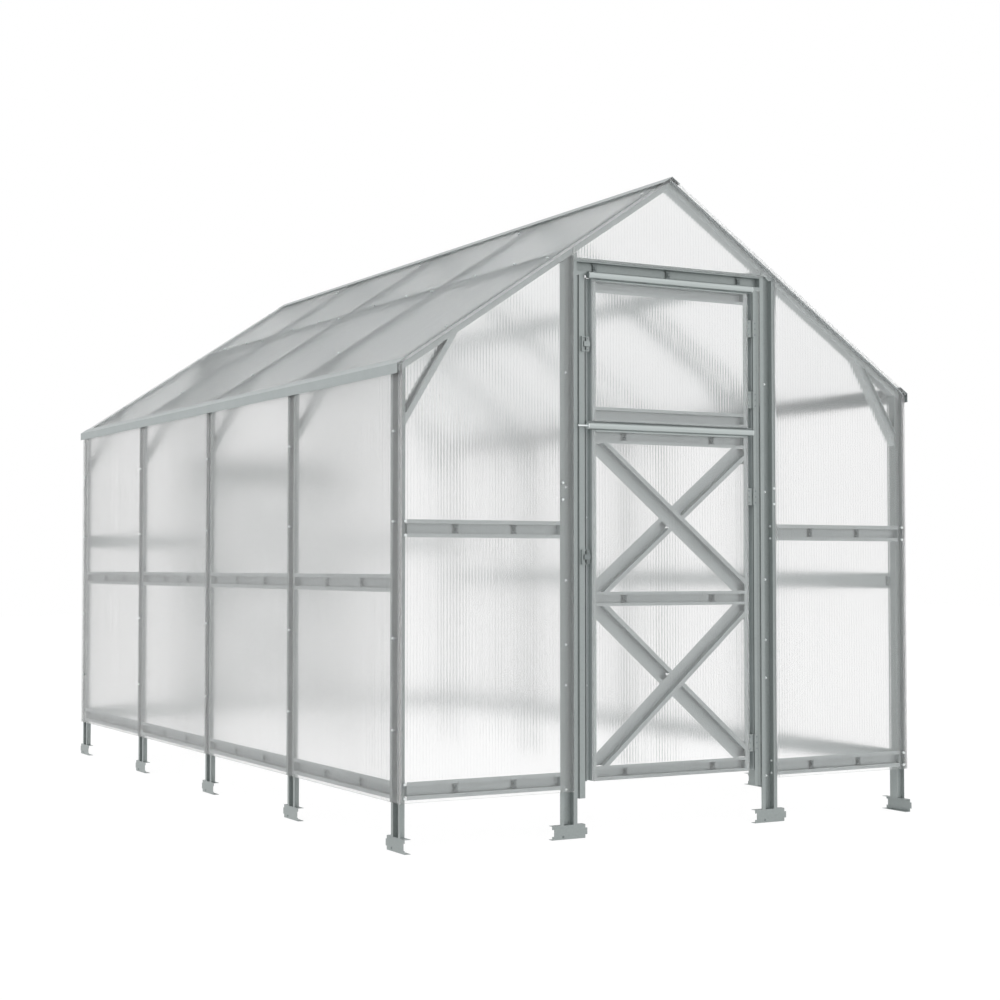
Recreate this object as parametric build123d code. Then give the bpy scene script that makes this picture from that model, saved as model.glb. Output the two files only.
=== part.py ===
"""Gabled garden greenhouse: hat section steel frame, twin wall sheets, a door and a window above it.

Frame of reference: +Z up from the ground, the front gable faces -Y, the ridge runs along Y, and the
origin is on the ground under the middle of the house. All sizes are in millimetres.
"""
from build123d import *
from dataclasses import dataclass
from math import hypot
import os


@dataclass(frozen=True)
class Hat:
    """Cold rolled hat section: a channel with a flange along each side of its mouth."""

    width: float
    channel: float
    depth: float
    gauge: float

    def outline(self):
        """Section with the flanges' outer faces on the local X axis and the channel below it."""
        edge = self.width / 2
        inner = self.channel / 2
        outer = inner + self.gauge
        return [
            (-edge, 0),
            (-inner, 0),
            (-inner, self.gauge - self.depth),
            (inner, self.gauge - self.depth),
            (inner, 0),
            (edge, 0),
            (edge, -self.gauge),
            (outer, -self.gauge),
            (outer, -self.depth),
            (-outer, -self.depth),
            (-outer, -self.gauge),
            (-edge, -self.gauge),
        ]


# Steel sections
gauge = 1.2
section_depth = 26.0
post_hat = Hat(width=78.0, channel=43.0, depth=section_depth, gauge=gauge)
rail_hat = Hat(width=67.0, channel=37.0, depth=section_depth, gauge=gauge)
leaf_hat = Hat(width=56.0, channel=32.0, depth=section_depth, gauge=gauge)

# Plan of the frame, over the outer faces of the flanges
frame_width = 2416.0
bay_length = 1000.0
bay_count = 4

# Heights above the ground
foot_height = 54.0
bottom_rail_height = 225.5
side_rail_height = 991.0
gable_rail_height = 1194.5
sheet_bottom = 182.0
eave_height = 1807.0

# Roof: its rise for each unit of run, and what it carries
roof_slope = 2 / 3
purlin_from_ridge = 508.0
brace_foot_drop = 179.0
brace_reach = 156.0
ridge_arm = 45.0
eave_arm = 45.0
eave_drop = 38.0
cap_gauge = 1.5
cap_overhang = 2.0
roof_overhang = 12.0
eave_overhang = 16.0

# Twin wall sheets
sheet = 10.0
sheet_joint = 2.0
sheet_relief = 0.5

# Gap left where the end of one section butts against another of the same leaf
butt_gap = 0.3

# Feet: channels that lie along the walls
foot_length = 150.0
foot_tongue = 9.0
foot_tongue_height = 26.0

# Doorway
door_post_spacing = 968.0
jamb_width = 36.0
jamb_depth = 43.0
jamb_bottom = 153.0
head_rail_drop = 21.4
left_panel_lap = 19.0
right_panel_inset = 37.0
gable_sheet_lap = 8.0

# Leaves: the door below and the window above it
leaf_gap = 6.0
stile_width = 44.0
stile_flange = 17.0
door_bottom = 218.0
door_top = 1594.0
door_middle_share = 0.514
leaf_split = 30.0
window_head_gap = 9.0
leaf_sheet_inset = 1.0
bar_radius = 14.0
bar_rise = 9.0
bar_end_inset = 12.0

# Hinges and latches
hinge_plate = 2.0
hinge_height = 70.0
leaf_wing = 27.0
jamb_wing = 15.0
knuckle_radius = 5.0
knuckle_gap = 0.5
pin_radius = 2.5
pin_clearance = 0.1
hinge_axis_out = 6.0
door_low_hinge = 112.0
door_high_hinge = 254.0
window_low_hinge = 116.0
window_high_hinge = 152.0
latch_plate = 3.0
latch_plate_width = 14.0
latch_plate_height = 58.0
latch_bolt = 4.0
latch_bolt_height = 20.0
latch_bolt_reach = 8.0
latch_clearance = 5.5
keeper_edge = 4.0
keeper_depth = 9.5
keeper_gap = 6.0
door_latch_rise = 872.0
window_latch_rise = 301.0

# Derived places
half_width = frame_width / 2
half_length = bay_length * bay_count / 2
front_plane = -half_length - post_hat.width / 2
slope_out = 1 / hypot(1, roof_slope)
slope_up = roof_slope * slope_out
ridge_height = eave_height + half_width * roof_slope
frame_rows = [-half_length + bay_length * i for i in range(bay_count + 1)]
bay_rows = [-half_length + bay_length * (i + 0.5) for i in range(bay_count)]
post_line = door_post_spacing / 2
post_inner = post_line - post_hat.width / 2
left_panel_edge = post_line - left_panel_lap
right_panel_edge = post_line + right_panel_inset
rafter_web = eave_height + (half_width - post_inner) * roof_slope - section_depth / slope_out
head_rail_height = rafter_web - head_rail_drop - rail_hat.width / 2
door_middle_rail = door_bottom + door_middle_share * (door_top - door_bottom)
window_bottom = door_top + leaf_split
window_top = head_rail_height - rail_hat.width / 2 - window_head_gap
door_latch_height = door_bottom + door_latch_rise
window_latch_height = window_bottom + window_latch_rise
door_hinge_heights = (door_bottom + door_low_hinge, door_top - door_high_hinge)
window_hinge_heights = (window_bottom + window_low_hinge, window_top - window_high_hinge)
jamb_face = post_inner - jamb_width
leaf_half_width = jamb_face - leaf_gap
field_half_width = leaf_half_width - stile_width
hinge_x = jamb_face - leaf_gap / 2
hinge_y = front_plane - hinge_axis_out


def roof_point(x, above=0.0):
    """A point over the right half of the plan, so far above the plane under the roof sheets."""
    run = half_width - x
    z = eave_height + run * roof_slope
    return Vector(x + above * slope_up, 0, z + above * slope_out)


def prism(points, plane, length):
    """A solid of a closed outline in a plane, so long along the plane's normal."""
    return extrude(plane * make_face(Polyline(*points, close=True)), amount=length)


def bar(hat, start, end, opening):
    """A length of hat section between two points on its flange face, its mouth facing opening."""
    start = Vector(*start)
    along = Vector(*end) - start
    plane = Plane(origin=start, x_dir=Vector(*opening).cross(along), z_dir=along)
    return prism(hat.outline(), plane, along.length)


def tabbed_bar(hat, start, end, opening):
    """A length of hat section whose channel is closed at both ends by tabs folded up from its web."""
    start = Vector(*start)
    end = Vector(*end)
    fold = (end - start).normalized() * hat.gauge
    solid = bar(hat, start, end, opening)
    reach = hat.channel / 2 + hat.gauge
    outline = [(-reach, -hat.gauge), (reach, -hat.gauge), (reach, -hat.depth), (-reach, -hat.depth)]
    for place in (start, end - fold):
        plane = Plane(origin=place, x_dir=Vector(*opening).cross(fold), z_dir=fold)
        solid = solid + prism(outline, plane, hat.gauge)
    return solid.solid()


def block(low, high):
    """A box from its lowest to its highest corner."""
    size = [b - a for a, b in zip(low, high)]
    middle = [(a + b) / 2 for a, b in zip(low, high)]
    return Pos(*middle) * Box(*size)


def keep_below_roof(solid, above):
    """Cut off what reaches over a plane parallel to the right half of the roof."""
    point = roof_point(half_width, above)
    cut = Plane(origin=point, x_dir=(0, 1, 0), z_dir=(slope_up, 0, slope_out))
    return split(solid, bisect_by=cut, keep=Keep.BOTTOM)


def mirrored(solids):
    """The same pieces on the left of the house."""
    return [mirror(solid, about=Plane.YZ) for solid in solids]


def turned(solids):
    """The same pieces at the back of the house."""
    return [Rot(0, 0, 180) * solid for solid in solids]


def side_posts():
    """Right wall posts, cut to the slope under the rafters."""
    posts = []
    for y in frame_rows:
        post = bar(post_hat, (half_width, y, foot_height), (half_width, y, ridge_height), (1, 0, 0))
        posts.append(keep_below_roof(post, -post_hat.depth))
    return posts


def side_rails():
    """Right wall rails, one at the bottom and one at mid height in each bay."""
    reach = (bay_length - post_hat.width) / 2
    rails = []
    for z in (bottom_rail_height, side_rail_height):
        for y in bay_rows:
            start, end = (half_width, y - reach, z), (half_width, y + reach, z)
            rails.append(tabbed_bar(rail_hat, start, end, (1, 0, 0)))
    return rails


def rafters():
    """Rafters of the right half of the roof, from the wall plane to the ridge."""
    low = roof_point(half_width + section_depth)
    high = roof_point(-section_depth)
    trim_reach = section_depth + post_hat.width
    solids = []
    for y in frame_rows:
        rafter = bar(post_hat, (low.X, y, low.Z), (high.X, y, high.Z), (slope_up, 0, slope_out))
        trim = block((0, y - trim_reach, 0), (half_width, y + trim_reach, ridge_height + trim_reach))
        solids.append((rafter & trim).solid())
    return solids


def purlins():
    """Right hand purlins at mid slope, between the rafters."""
    reach = (bay_length - post_hat.width) / 2
    place = roof_point(purlin_from_ridge)
    normal = (slope_up, 0, slope_out)
    return [tabbed_bar(rail_hat, (place.X, y - reach, place.Z), (place.X, y + reach, place.Z), normal)
            for y in bay_rows]


def knee_braces():
    """Right hand braces from each post up to its rafter, with their mouths to the corner."""
    face = half_width - post_hat.depth
    foot = Vector(face, 0, eave_height - brace_foot_drop)
    head = roof_point(face - brace_reach, -post_hat.depth)
    along = (Vector(head.X, 0, head.Z) - foot).normalized()
    start = foot - along * rail_hat.width
    end = Vector(head.X, 0, head.Z) + along * rail_hat.width
    mouth = Vector(along.Z, 0, -along.X)
    solids = []
    for y in frame_rows:
        shift = Vector(0, y, 0)
        brace = bar(rail_hat, start + shift, end + shift, mouth)
        brace = keep_below_roof(brace, -post_hat.depth)
        room = block((0, y - rail_hat.width, 0), (face, y + rail_hat.width, ridge_height))
        solids.append((brace & room).solid())
    return solids


def foot(place, outward, along):
    """A channel along the wall under a post: its web outward, a tongue on one end, a notch on the other."""
    depth = section_depth
    edge = foot_height / 2
    section = [
        (0, -edge),
        (depth, -edge),
        (depth, edge),
        (0, edge),
        (0, edge - gauge),
        (depth - gauge, edge - gauge),
        (depth - gauge, gauge - edge),
        (0, gauge - edge),
    ]
    origin = place - outward * depth - along * (foot_length / 2) + Vector(0, 0, edge)
    plane = Plane(origin=origin, x_dir=outward, z_dir=along)
    lip = block((depth - gauge, -foot_tongue_height / 2, -foot_tongue), (depth, foot_tongue_height / 2, 0))
    notch = plane * Pos(0, 0, foot_tongue) * lip
    tongue = plane * Pos(0, 0, foot_length + foot_tongue) * lip
    return (prism(section, plane, foot_length) - notch + tongue).solid()


def side_feet():
    """Feet under the right wall's posts, their tongues to the front."""
    return [foot(Vector(half_width, y, 0), Vector(1, 0, 0), Vector(0, -1, 0)) for y in frame_rows]


def wall_sheets():
    """Right wall sheets, joined over the middle post."""
    end = half_length + post_hat.width / 2 + sheet
    top = roof_point(half_width + sheet).Z - sheet_relief
    low_x, high_x = half_width, half_width + sheet
    gap = sheet_joint / 2
    return [
        block((low_x, -end, sheet_bottom), (high_x, -gap, top)),
        block((low_x, gap, sheet_bottom), (high_x, end, top)),
    ]


def roof_sheets():
    """Right hand roof sheets, joined over the middle rafter."""
    low = roof_point(half_width + eave_overhang)
    low_top = roof_point(half_width + eave_overhang, sheet)
    gap = sheet_joint / 2
    ridge = roof_point(gap)
    ridge_top = roof_point(gap, sheet)
    crown = ridge_top.Z + (ridge_top.X - gap) * roof_slope
    outline = [(low.X, low.Z), (low_top.X, low_top.Z), (gap, crown), (gap, ridge.Z)]
    end = half_length + post_hat.width / 2 + roof_overhang
    solids = []
    for start, length in ((-end, end - gap), (gap, end - gap)):
        plane = Plane(origin=(0, start + length, 0), x_dir=(1, 0, 0), z_dir=(0, -1, 0))
        solids.append(prism(outline, plane, length))
    return solids


def cap(points):
    """A folded strip along the whole roof, of the given outline across it."""
    end = half_length + post_hat.width / 2 + roof_overhang + cap_overhang
    return prism(points, Plane(origin=(0, end, 0), x_dir=(1, 0, 0), z_dir=(0, -1, 0)), 2 * end)


def ridge_cap():
    """Angle over the ridge, its arms flat on the roof sheets."""
    under = ridge_height + sheet / slope_out
    over = under + cap_gauge / slope_out
    inner = Vector(ridge_arm * slope_out, 0, under - ridge_arm * slope_up)
    outer = Vector(inner.X + cap_gauge * slope_up, 0, inner.Z + cap_gauge * slope_out)
    return cap([
        (0, under),
        (inner.X, inner.Z),
        (outer.X, outer.Z),
        (0, over),
        (-outer.X, outer.Z),
        (-inner.X, inner.Z),
    ])


def eave_cap():
    """Right hand angle over the eave: one arm on the roof sheets, one hanging outside the wall."""
    end = roof_point(half_width + eave_overhang, sheet).X + sheet_relief
    under = eave_height + sheet / slope_out + (half_width - end) * roof_slope
    over = under + cap_gauge / slope_out
    outer_x = end + cap_gauge
    outer_z = over - cap_gauge * roof_slope
    arm = Vector(end - eave_arm * slope_out, 0, under + eave_arm * slope_up)
    arm_top = Vector(arm.X + cap_gauge * slope_up, 0, arm.Z + cap_gauge * slope_out)
    return cap([
        (end, under),
        (arm.X, arm.Z),
        (arm_top.X, arm_top.Z),
        (outer_x, outer_z),
        (outer_x, outer_z - eave_drop),
        (end, outer_z - eave_drop),
    ])


def gable_posts():
    """The two posts beside the doorway, cut to the slope under the front rafters."""
    start, end = (post_line, front_plane, foot_height), (post_line, front_plane, ridge_height)
    post = bar(post_hat, start, end, (0, -1, 0))
    post = keep_below_roof(post, -post_hat.depth)
    return [post] + mirrored([post])


def gable_feet():
    """Feet under the posts beside the doorway."""
    return [foot(Vector(x, front_plane, 0), Vector(0, -1, 0), Vector(1, 0, 0))
            for x in (-post_line, post_line)]


def gable_rails():
    """Bottom and mid rails of the two panels beside the doorway."""
    inner = post_line + post_hat.width / 2
    outer = half_width - post_hat.depth
    rails = [tabbed_bar(rail_hat, (inner, front_plane, z), (outer, front_plane, z), (0, -1, 0))
             for z in (bottom_rail_height, gable_rail_height)]
    return rails + mirrored(rails)


def head_rail():
    """Rail over the doorway, between the posts."""
    z = head_rail_height
    return tabbed_bar(rail_hat, (-post_inner, front_plane, z), (post_inner, front_plane, z), (0, -1, 0))


def jambs():
    """Channels that line the doorway, their webs to the leaves and their mouths to the posts."""
    inner = jamb_face
    outer = jamb_face + jamb_width
    near = front_plane
    far = front_plane + jamb_depth
    section = [
        (inner, near),
        (outer, near),
        (outer, near + gauge),
        (inner + gauge, near + gauge),
        (inner + gauge, far - gauge),
        (outer, far - gauge),
        (outer, far),
        (inner, far),
    ]
    height = head_rail_height - rail_hat.width / 2 - jamb_bottom
    jamb = prism(section, Plane(origin=(0, 0, jamb_bottom)), height)
    latch_jamb = mirrored([jamb])[0]
    for z in (door_latch_height, window_latch_height):
        latch_jamb = latch_jamb + keeper(z)
    return [jamb, latch_jamb.solid()]


def gable_sheet(outline):
    """A sheet on the front of the gable frame, of an outline in X and Z, trimmed under the roof."""
    plane = Plane(origin=(0, front_plane, 0), x_dir=(1, 0, 0), z_dir=(0, -1, 0))
    flat = prism(outline, plane, sheet)
    trimmed = keep_below_roof(flat, -sheet_relief)
    trimmed = mirror(keep_below_roof(mirror(trimmed, about=Plane.YZ), -sheet_relief), about=Plane.YZ)
    return trimmed.solid()


def gable_panel(low_x, high_x, bottom):
    """A sheet between two upright edges, from its bottom edge up to the roof."""
    top = ridge_height + sheet
    return gable_sheet([(low_x, bottom), (high_x, bottom), (high_x, top), (low_x, top)])


def crown_sheet():
    """The sheet between the head rail and the ridge."""
    bottom = head_rail_height + rail_hat.width / 2 - gable_sheet_lap
    return gable_panel(-left_panel_edge + sheet_joint, right_panel_edge - sheet_joint, bottom)


def stiles(bottom, top):
    """The two uprights of a leaf: a flange to the sheet, and a channel to the jamb."""
    inner = field_half_width
    wall = inner + stile_flange
    outer = leaf_half_width
    near = front_plane
    far = front_plane + section_depth
    section = [
        (inner, near),
        (wall + gauge, near),
        (wall + gauge, far - gauge),
        (outer - gauge, far - gauge),
        (outer - gauge, near),
        (outer, near),
        (outer, far),
        (wall, far),
        (wall, near + gauge),
        (inner, near + gauge),
    ]
    stile = prism(section, Plane(origin=(0, 0, bottom)), top - bottom)
    return [stile] + mirrored([stile])


def leaf_rails(heights):
    """Cross rails of a leaf, between its stiles."""
    reach = field_half_width - butt_gap
    return [tabbed_bar(leaf_hat, (-reach, front_plane, z), (reach, front_plane, z), (0, -1, 0))
            for z in heights]


def leaf_frame(bottom, top, middle=()):
    """Stiles and rails of a leaf."""
    edge = leaf_hat.width / 2
    return stiles(bottom, top) + leaf_rails((bottom + edge, *middle, top - edge))


def cross_braces(bottom, top, rising):
    """A cross of hat sections in a field: one bar whole, the other in two halves that butt against it."""
    reach = field_half_width
    middle = (bottom + top) / 2
    lean = 1 if rising else -1
    half_diagonal = Vector(reach, 0, (top - bottom) / 2)
    along = half_diagonal.normalized()
    run = half_diagonal.length + post_hat.width
    field = block((-reach, front_plane, bottom), (reach, front_plane + section_depth, top))
    solids = []
    for side in (lean, -lean):
        direction = Vector(along.X, 0, along.Z * side)
        centre = Vector(0, front_plane, middle)
        whole = bar(post_hat, centre - direction * run, centre + direction * run, (0, -1, 0)) & field
        if side == lean:
            solids.append(whole.solid())
            across = Vector(-direction.Z, 0, direction.X) * (post_hat.width / 2 + butt_gap)
            track = [centre - direction * run - across, centre + direction * run - across,
                     centre + direction * run + across, centre - direction * run + across]
            lane = extrude(make_face(Polyline(*track, close=True)), amount=2 * section_depth, both=True)
        else:
            solids += list((whole - lane).solids())
    return solids


def leaf_sheet(bottom, top):
    """Sheet on the front of a leaf, up to the drip bar's strip."""
    reach = field_half_width + stile_flange - leaf_sheet_inset
    flange = (leaf_hat.width - leaf_hat.channel) / 2 - gauge
    return block((-reach, front_plane - sheet, bottom), (reach, front_plane, top - flange - sheet_relief))


def drip_bar(top):
    """Tube along the top of a leaf on a strip that is fixed to the top rail's flange."""
    flange = (leaf_hat.width - leaf_hat.channel) / 2 - gauge
    centre = Vector(0, front_plane - bar_radius, top + bar_rise)
    left = -leaf_half_width
    length = 2 * leaf_half_width - bar_end_inset
    plane = Plane(origin=(left, centre.Y, centre.Z), x_dir=(0, 1, 0), z_dir=(1, 0, 0))
    tube = extrude(plane * Circle(bar_radius), amount=length)
    strip = block((-field_half_width, front_plane - gauge, top - flange),
                  (field_half_width, front_plane, centre.Z))
    hollow = extrude(plane * Circle(bar_radius - gauge), amount=length)
    return (tube + strip - hollow).solid()


def knuckle(z, height, radius):
    """A round of the hinge on its axis."""
    return Pos(hinge_x, hinge_y, z) * Cylinder(radius, height)


def hinge_wing(side, z):
    """Plate of a hinge, clear of the round: side is -1 on the leaf and 1 on the jamb."""
    near = hinge_x + side * (knuckle_radius + knuckle_gap)
    far = hinge_x + side * (leaf_gap / 2 + (jamb_wing if side > 0 else leaf_wing))
    return block((min(near, far), front_plane - hinge_plate, z - hinge_height / 2),
                 (max(near, far), front_plane, z + hinge_height / 2))


def hinge_knuckle(side, z, height):
    """One knuckle with the web that joins it to the plate on its side."""
    near = hinge_x + side * (knuckle_radius + knuckle_gap + hinge_plate)
    web = block((min(near, hinge_x), front_plane - hinge_plate, z - height / 2),
                (max(near, hinge_x), front_plane - hinge_plate / 2, z + height / 2))
    return knuckle(z, height, knuckle_radius) + web


def leaf_hinge(z):
    """Plate on the stile with a knuckle at each end of the hinge, bored for the pin."""
    third = hinge_height / 3
    solid = hinge_wing(-1, z)
    for level in (z - third, z + third):
        solid = solid + hinge_knuckle(-1, level, third)
    return (solid - knuckle(z, 2 * hinge_height, pin_radius + pin_clearance)).solid()


def jamb_hinge(z):
    """Plate on the jamb with the middle knuckle and the pin."""
    height = hinge_height / 3 - 2 * knuckle_gap
    return (hinge_wing(1, z) + hinge_knuckle(1, z, height) + knuckle(z, hinge_height, pin_radius)).solid()


def closed_hinge(z):
    """A hinge of the window, shut: both plates and the round in one piece."""
    low_x = hinge_x - leaf_gap / 2 - leaf_wing
    high_x = jamb_face + jamb_wing
    plate = block((low_x, front_plane - hinge_plate, z - hinge_height / 2),
                  (high_x, front_plane, z + hinge_height / 2))
    return (plate + knuckle(z, hinge_height, knuckle_radius)).solid()


def latch(z):
    """Latch on the left stile: a plate, and a bolt on it that reaches over the jamb."""
    outer = -leaf_half_width
    plate = block((outer, front_plane - latch_plate, z - latch_plate_height / 2),
                  (outer + latch_plate_width, front_plane, z + latch_plate_height / 2))
    back = front_plane - latch_clearance
    half = latch_bolt_height / 2
    stem = block((outer, back, z - half), (outer + latch_plate_width, front_plane - latch_plate, z + half))
    bolt = block((-jamb_face - latch_bolt_reach, back - latch_bolt, z - half),
                 (outer + latch_plate_width, back, z + half))
    return (plate + stem + bolt).solid()


def keeper(z):
    """Bracket on the left jamb whose two lips stand above and below the bolt, and its back beside it."""
    low_x = -jamb_face - latch_bolt_reach - keeper_gap - keeper_edge
    high_x = -jamb_face - gauge
    near = front_plane - keeper_depth
    half = latch_plate_height / 2
    lip = half - keeper_edge
    bracket = block((low_x, near, z - half), (high_x, front_plane, z + half))
    room = block((low_x + keeper_edge, near, z - lip), (high_x, front_plane, z + lip))
    return (bracket - room).solid()


def door_braces():
    """Both crosses of the lower leaf."""
    half_rail = leaf_hat.width / 2
    low_field = (door_bottom + leaf_hat.width, door_middle_rail - half_rail)
    high_field = (door_middle_rail + half_rail, door_top - leaf_hat.width)
    return cross_braces(*low_field, rising=True) + cross_braces(*high_field, rising=False)


def gable_pieces():
    """The pieces that both gables have, by the last part of their names."""
    return {
        "door_posts": gable_posts(),
        "rails": gable_rails(),
        "head_rail": [head_rail()],
        "jambs": jambs(),
        "left_sheet": [gable_panel(-half_width, -left_panel_edge, sheet_bottom)],
        "right_sheet": [gable_panel(right_panel_edge, half_width, sheet_bottom)],
        "crown_sheet": [crown_sheet()],
        "door_braces": door_braces(),
    }


def wall_pieces():
    """The pieces that both sides of the house have, by the last part of their names."""
    return {
        "posts": side_posts(),
        "rails": side_rails(),
        "rafters": rafters(),
        "wall_sheets": wall_sheets(),
        "roof_sheets": roof_sheets(),
    }


def leaf_pieces():
    """The frames, sheets, bars and fittings of the two leaves in a doorway, the window's first."""
    window = {
        "frame": leaf_frame(window_bottom, window_top),
        "sheet": [leaf_sheet(window_bottom, window_top)],
        "bar": [drip_bar(window_top)],
        "fittings": [closed_hinge(z) for z in window_hinge_heights] + [latch(window_latch_height)],
    }
    door = {
        "frame": leaf_frame(door_bottom, door_top, (door_middle_rail,)),
        "sheet": [leaf_sheet(door_bottom, door_top)],
        "bar": [drip_bar(door_top)],
        "latch": [latch(door_latch_height)],
    }
    return window, door


def house_pieces():
    """Every node of the house with its solids."""
    feet = side_feet() + gable_feet()
    purlin_run = purlins()
    braces = knee_braces()
    nodes = {
        "feet": feet + turned(feet),
        "purlins": purlin_run + mirrored(purlin_run),
        "knee_braces": braces + mirrored(braces),
        "eave_caps": [eave_cap()] + mirrored([eave_cap()]),
        "ridge_cap": [ridge_cap()],
    }
    for name, solids in wall_pieces().items():
        nodes[f"right_{name}"] = solids
        nodes[f"left_{name}"] = mirrored(solids)
    for name, solids in gable_pieces().items():
        nodes[f"front_{name}"] = solids
        nodes[f"back_{name}"] = turned(solids)
    window, door = leaf_pieces()
    for name, solids in window.items():
        nodes[f"front_window_{name}"] = solids
    for name, solids in door.items():
        nodes[f"front_door_{name}"] = solids
    nodes["front_door_hinge_leaves"] = [leaf_hinge(z) for z in door_hinge_heights]
    nodes["front_jamb_hinge_leaves"] = [jamb_hinge(z) for z in door_hinge_heights]
    back_hinges = [closed_hinge(z) for z in door_hinge_heights]
    nodes["back_leaf_frames"] = turned(window["frame"] + door["frame"])
    nodes["back_leaf_sheets"] = turned(window["sheet"] + door["sheet"])
    nodes["back_drip_bars"] = turned(window["bar"] + door["bar"])
    nodes["back_fittings"] = turned(window["fittings"] + door["latch"] + back_hinges)
    return nodes


os.makedirs("parts", exist_ok=True)
for node, pieces in house_pieces().items():
    export_step(Compound(children=pieces), f"parts/{node}.step")
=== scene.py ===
"""Dresses a gabled garden greenhouse: zinc coated steel sections, twin wall sheets, screws and washers."""

import logging
import math
from dataclasses import dataclass, field
from enum import Enum
from typing import Any, Iterable, Sequence

import bmesh
import bpy
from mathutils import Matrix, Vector

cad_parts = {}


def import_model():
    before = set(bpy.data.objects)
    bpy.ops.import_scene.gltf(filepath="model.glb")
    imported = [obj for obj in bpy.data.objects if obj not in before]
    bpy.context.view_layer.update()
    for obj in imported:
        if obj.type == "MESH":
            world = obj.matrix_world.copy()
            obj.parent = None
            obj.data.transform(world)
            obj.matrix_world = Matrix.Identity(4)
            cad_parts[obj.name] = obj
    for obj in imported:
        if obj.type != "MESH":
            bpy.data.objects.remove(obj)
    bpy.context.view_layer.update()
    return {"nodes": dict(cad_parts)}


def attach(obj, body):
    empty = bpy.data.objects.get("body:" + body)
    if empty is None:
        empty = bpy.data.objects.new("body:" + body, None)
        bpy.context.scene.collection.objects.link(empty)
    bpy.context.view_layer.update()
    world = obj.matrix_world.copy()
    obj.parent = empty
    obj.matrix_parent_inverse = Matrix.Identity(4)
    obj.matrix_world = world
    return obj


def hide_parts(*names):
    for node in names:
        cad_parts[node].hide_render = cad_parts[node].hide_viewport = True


LOG = logging.getLogger("greenhouse")
MM = 0.001
# The width of one flute of a twin wall sheet, and the rise of the roof for each unit of run
FLUTE_MM = 13.3
SLOPE = 2 / 3
# The depth that a grain's bump stands for
GRAIN_DEPTH = 0.2 * MM
# A wave texture of scale one runs through this many radians of its sine in a metre
WAVE_RATE = 20.0

Material = bpy.types.Material
Tree = bpy.types.NodeTree
Socket = bpy.types.NodeSocket
Mesh = bmesh.types.BMesh
Nodes = dict[str, bpy.types.Object]
Points = Sequence[tuple[float, float]]
Floats = tuple[float, ...]
Profile = tuple[tuple[float, float], ...]

X_AXIS = Vector((1, 0, 0))
Y_AXIS = Vector((0, 1, 0))
Z_AXIS = Vector((0, 0, 1))


class Body(Enum):
    """The two bodies that a piece can ride on."""

    HOUSE = "house"
    DOOR = "front_door"


def linear(code: str) -> tuple[float, float, float, float]:
    """Turn an sRGB hex code into a linear colour.

    Args:
        code: Six hex digits after a hash sign.

    Returns:
        Linear red, green and blue, and an alpha of one.
    """
    channels = [int(code[i:i + 2], 16) / 255 for i in (1, 3, 5)]
    rgb = [c / 12.92 if c <= 0.04045 else ((c + 0.055) / 1.055) ** 2.4 for c in channels]
    return rgb[0], rgb[1], rgb[2], 1.0


def add_node(tree: Tree, kind: str, inputs: dict[Any, Any] | None = None,
             **settings: Any) -> bpy.types.Node:
    """Add one node with its settings, values and links.

    Args:
        tree: The tree that gets the node.
        kind: The node's type name.
        inputs: Values or output sockets, by the input's name or number.
        **settings: Attributes of the node.

    Returns:
        The new node.
    """
    node = tree.nodes.new(kind)
    for name, value in settings.items():
        setattr(node, name, value)
    for key, value in (inputs or {}).items():
        if isinstance(value, Socket):
            tree.links.new(value, node.inputs[key])
        else:
            node.inputs[key].default_value = value
    return node


def new_material(name: str) -> tuple[Material, Tree]:
    """Make an empty node material.

    Args:
        name: The material's name.

    Returns:
        The material and its node tree.
    """
    material = bpy.data.materials.new(name)
    material.use_nodes = True
    material.node_tree.nodes.clear()
    return material, material.node_tree


def flute_scale() -> float:
    """Give the wave texture's scale at which one band is one flute wide."""
    return 2 * math.pi / (WAVE_RATE * FLUTE_MM * MM)


class Finish:
    """A finish, whose material is made of nodes."""

    name: str

    def material(self, across: str = "") -> Material:
        """Build the material.

        Args:
            across: The axis across the flutes of a sheet, X or Y, which the name then ends with.

        Returns:
            The finished material.
        """
        material, tree = new_material(f"{self.name}_{across.lower()}" if across else self.name)
        place = add_node(tree, "ShaderNodeTexCoord").outputs["Object"]
        surface = self.surface(tree, place, across)
        add_node(tree, "ShaderNodeOutputMaterial", {"Surface": surface.outputs[0]})
        return material

    def surface(self, tree: Tree, place: Socket, across: str) -> bpy.types.Node:
        """Add the nodes of the surface.

        Args:
            tree: The tree that gets them.
            place: The output that gives the place on the object.
            across: The axis across the flutes, if there are any.

        Returns:
            The last node, which is the surface.
        """
        raise NotImplementedError


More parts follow.
